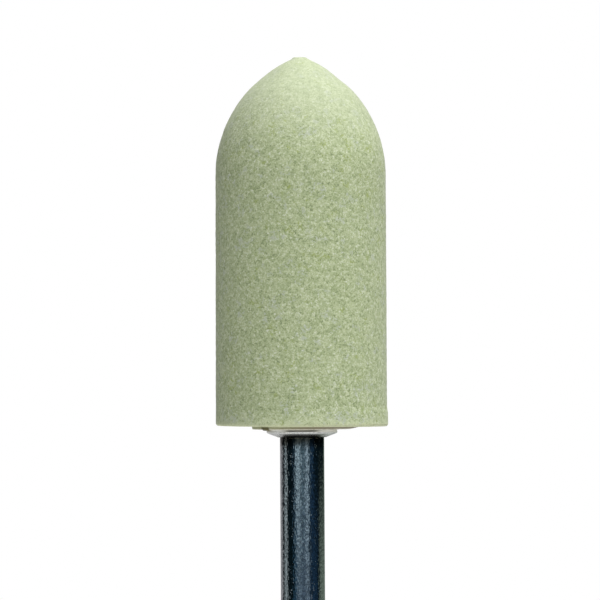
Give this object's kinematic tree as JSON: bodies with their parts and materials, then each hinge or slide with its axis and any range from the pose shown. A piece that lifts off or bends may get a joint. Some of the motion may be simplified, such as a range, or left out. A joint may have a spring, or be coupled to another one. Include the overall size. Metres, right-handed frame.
{
  "type": "mounted point",
  "caption": "Bullet-shaped bonded abrasive head with a rounded nose and a small flat tip, glued on a straight steel shank with a collar, for grinding and polishing in a collet.",
  "frame": {"origin": "centre of the shank's free end", "axes": "+Z along the common axis of shank and head, from the shank's free end to the tip; -Y faces the viewer of the picture and +X is on the right"},
  "size_m": [0.0116, 0.0116, 0.0558],
  "materials": {
    "steel": "polished",
    "adhesive": "satin",
    "abrasive": "matte"
  },
  "bodies": {
    "root": {"mandrel": "steel", "adhesive": "adhesive", "abrasive_head": "abrasive"}
  },
  "joints": []
}
